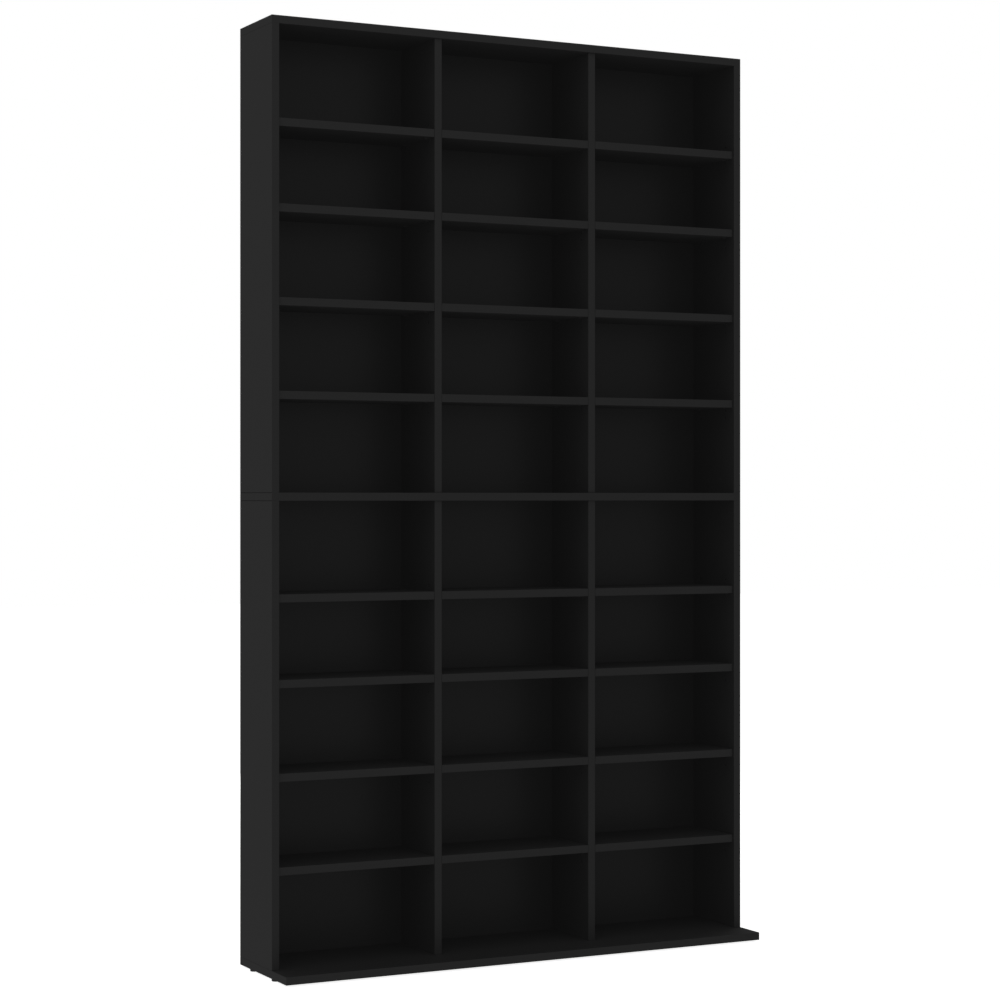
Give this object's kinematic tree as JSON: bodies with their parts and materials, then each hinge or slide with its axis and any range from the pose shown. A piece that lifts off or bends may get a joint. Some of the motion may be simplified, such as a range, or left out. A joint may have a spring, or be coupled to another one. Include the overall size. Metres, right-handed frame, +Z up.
{
  "type": "cd cabinet",
  "caption": "Tall, shallow, open-fronted cabinet for discs, in columns of small compartments with loose shelves, on a base board that stands out in front.",
  "frame": {"origin": "on the floor under the glides, midway along the width and midway between the base board's front and rear edges", "axes": "+X to the right as seen from the front, +Y to the rear, +Z up"},
  "size_m": [1.02, 0.23, 1.801],
  "materials": {
    "black_melamine_board": "black melamine foil on chipboard, matt with a fine pearl grain, edges banded in the same black",
    "black_hardboard_back": "thin hardboard, lacquered matt black",
    "black_coated_pin": "black-coated steel",
    "zinc_plated_steel": "zinc-plated steel",
    "zinc_die_casting": "plain zinc die casting",
    "beech_dowel": "grooved beech",
    "black_cap": "moulded black plastic",
    "black_glide": "moulded black plastic",
    "bright_steel_nail": "bright drawn steel"
  },
  "bodies": {
    "case": {"base_board": "black_melamine_board", "middle_board": "black_melamine_board", "top_board": "black_melamine_board", "lower_left_side": "black_melamine_board", "lower_left_divider": "black_melamine_board", "lower_right_divider": "black_melamine_board", "lower_right_side": "black_melamine_board", "upper_left_side": "black_melamine_board", "upper_left_divider": "black_melamine_board", "upper_right_divider": "black_melamine_board", "upper_right_side": "black_melamine_board", "lower_left_back": "black_hardboard_back", "lower_middle_back": "black_hardboard_back", "lower_right_back": "black_hardboard_back", "upper_left_back": "black_hardboard_back", "upper_middle_back": "black_hardboard_back", "upper_right_back": "black_hardboard_back", "lower_shelf_pins": "black_coated_pin", "upper_shelf_pins": "black_coated_pin", "base_screws": "zinc_plated_steel", "middle_screws": "zinc_plated_steel", "top_screws": "zinc_plated_steel", "dowels": "beech_dowel", "cam_bolts": "zinc_plated_steel", "cam_housings": "zinc_die_casting", "cam_caps": "black_cap", "top_screw_caps": "black_cap", "glides": "black_glide", "glide_nails": "bright_steel_nail", "back_nails": "bright_steel_nail", "wall_angles": "zinc_plated_steel", "wall_angle_screws": "zinc_plated_steel"},
    "lower_left_shelf_1": {"lower_left_shelf_1": "black_melamine_board"},
    "lower_left_shelf_2": {"lower_left_shelf_2": "black_melamine_board"},
    "lower_left_shelf_3": {"lower_left_shelf_3": "black_melamine_board"},
    "lower_left_shelf_4": {"lower_left_shelf_4": "black_melamine_board"},
    "lower_middle_shelf_1": {"lower_middle_shelf_1": "black_melamine_board"},
    "lower_middle_shelf_2": {"lower_middle_shelf_2": "black_melamine_board"},
    "lower_middle_shelf_3": {"lower_middle_shelf_3": "black_melamine_board"},
    "lower_middle_shelf_4": {"lower_middle_shelf_4": "black_melamine_board"},
    "lower_right_shelf_1": {"lower_right_shelf_1": "black_melamine_board"},
    "lower_right_shelf_2": {"lower_right_shelf_2": "black_melamine_board"},
    "lower_right_shelf_3": {"lower_right_shelf_3": "black_melamine_board"},
    "lower_right_shelf_4": {"lower_right_shelf_4": "black_melamine_board"},
    "upper_left_shelf_1": {"upper_left_shelf_1": "black_melamine_board"},
    "upper_left_shelf_2": {"upper_left_shelf_2": "black_melamine_board"},
    "upper_left_shelf_3": {"upper_left_shelf_3": "black_melamine_board"},
    "upper_left_shelf_4": {"upper_left_shelf_4": "black_melamine_board"},
    "upper_middle_shelf_1": {"upper_middle_shelf_1": "black_melamine_board"},
    "upper_middle_shelf_2": {"upper_middle_shelf_2": "black_melamine_board"},
    "upper_middle_shelf_3": {"upper_middle_shelf_3": "black_melamine_board"},
    "upper_middle_shelf_4": {"upper_middle_shelf_4": "black_melamine_board"},
    "upper_right_shelf_1": {"upper_right_shelf_1": "black_melamine_board"},
    "upper_right_shelf_2": {"upper_right_shelf_2": "black_melamine_board"},
    "upper_right_shelf_3": {"upper_right_shelf_3": "black_melamine_board"},
    "upper_right_shelf_4": {"upper_right_shelf_4": "black_melamine_board"}
  },
  "joints": [
    {"name": "lower_left_shelf_1_slide", "type": "slide", "parent": "case", "child": "lower_left_shelf_1", "axis": [0, -1, 0], "range_m": [0, 0.03]},
    {"name": "lower_left_shelf_2_slide", "type": "slide", "parent": "case", "child": "lower_left_shelf_2", "axis": [0, -1, 0], "range_m": [0, 0.03]},
    {"name": "lower_left_shelf_3_slide", "type": "slide", "parent": "case", "child": "lower_left_shelf_3", "axis": [0, -1, 0], "range_m": [0, 0.03]},
    {"name": "lower_left_shelf_4_slide", "type": "slide", "parent": "case", "child": "lower_left_shelf_4", "axis": [0, -1, 0], "range_m": [0, 0.03]},
    {"name": "lower_middle_shelf_1_slide", "type": "slide", "parent": "case", "child": "lower_middle_shelf_1", "axis": [0, -1, 0], "range_m": [0, 0.03]},
    {"name": "lower_middle_shelf_2_slide", "type": "slide", "parent": "case", "child": "lower_middle_shelf_2", "axis": [0, -1, 0], "range_m": [0, 0.03]},
    {"name": "lower_middle_shelf_3_slide", "type": "slide", "parent": "case", "child": "lower_middle_shelf_3", "axis": [0, -1, 0], "range_m": [0, 0.03]},
    {"name": "lower_middle_shelf_4_slide", "type": "slide", "parent": "case", "child": "lower_middle_shelf_4", "axis": [0, -1, 0], "range_m": [0, 0.03]},
    {"name": "lower_right_shelf_1_slide", "type": "slide", "parent": "case", "child": "lower_right_shelf_1", "axis": [0, -1, 0], "range_m": [0, 0.03]},
    {"name": "lower_right_shelf_2_slide", "type": "slide", "parent": "case", "child": "lower_right_shelf_2", "axis": [0, -1, 0], "range_m": [0, 0.03]},
    {"name": "lower_right_shelf_3_slide", "type": "slide", "parent": "case", "child": "lower_right_shelf_3", "axis": [0, -1, 0], "range_m": [0, 0.03]},
    {"name": "lower_right_shelf_4_slide", "type": "slide", "parent": "case", "child": "lower_right_shelf_4", "axis": [0, -1, 0], "range_m": [0, 0.03]},
    {"name": "upper_left_shelf_1_slide", "type": "slide", "parent": "case", "child": "upper_left_shelf_1", "axis": [0, -1, 0], "range_m": [0, 0.03]},
    {"name": "upper_left_shelf_2_slide", "type": "slide", "parent": "case", "child": "upper_left_shelf_2", "axis": [0, -1, 0], "range_m": [0, 0.03]},
    {"name": "upper_left_shelf_3_slide", "type": "slide", "parent": "case", "child": "upper_left_shelf_3", "axis": [0, -1, 0], "range_m": [0, 0.03]},
    {"name": "upper_left_shelf_4_slide", "type": "slide", "parent": "case", "child": "upper_left_shelf_4", "axis": [0, -1, 0], "range_m": [0, 0.03]},
    {"name": "upper_middle_shelf_1_slide", "type": "slide", "parent": "case", "child": "upper_middle_shelf_1", "axis": [0, -1, 0], "range_m": [0, 0.03]},
    {"name": "upper_middle_shelf_2_slide", "type": "slide", "parent": "case", "child": "upper_middle_shelf_2", "axis": [0, -1, 0], "range_m": [0, 0.03]},
    {"name": "upper_middle_shelf_3_slide", "type": "slide", "parent": "case", "child": "upper_middle_shelf_3", "axis": [0, -1, 0], "range_m": [0, 0.03]},
    {"name": "upper_middle_shelf_4_slide", "type": "slide", "parent": "case", "child": "upper_middle_shelf_4", "axis": [0, -1, 0], "range_m": [0, 0.03]},
    {"name": "upper_right_shelf_1_slide", "type": "slide", "parent": "case", "child": "upper_right_shelf_1", "axis": [0, -1, 0], "range_m": [0, 0.03]},
    {"name": "upper_right_shelf_2_slide", "type": "slide", "parent": "case", "child": "upper_right_shelf_2", "axis": [0, -1, 0], "range_m": [0, 0.03]},
    {"name": "upper_right_shelf_3_slide", "type": "slide", "parent": "case", "child": "upper_right_shelf_3", "axis": [0, -1, 0], "range_m": [0, 0.03]},
    {"name": "upper_right_shelf_4_slide", "type": "slide", "parent": "case", "child": "upper_right_shelf_4", "axis": [0, -1, 0], "range_m": [0, 0.03]}
  ]
}
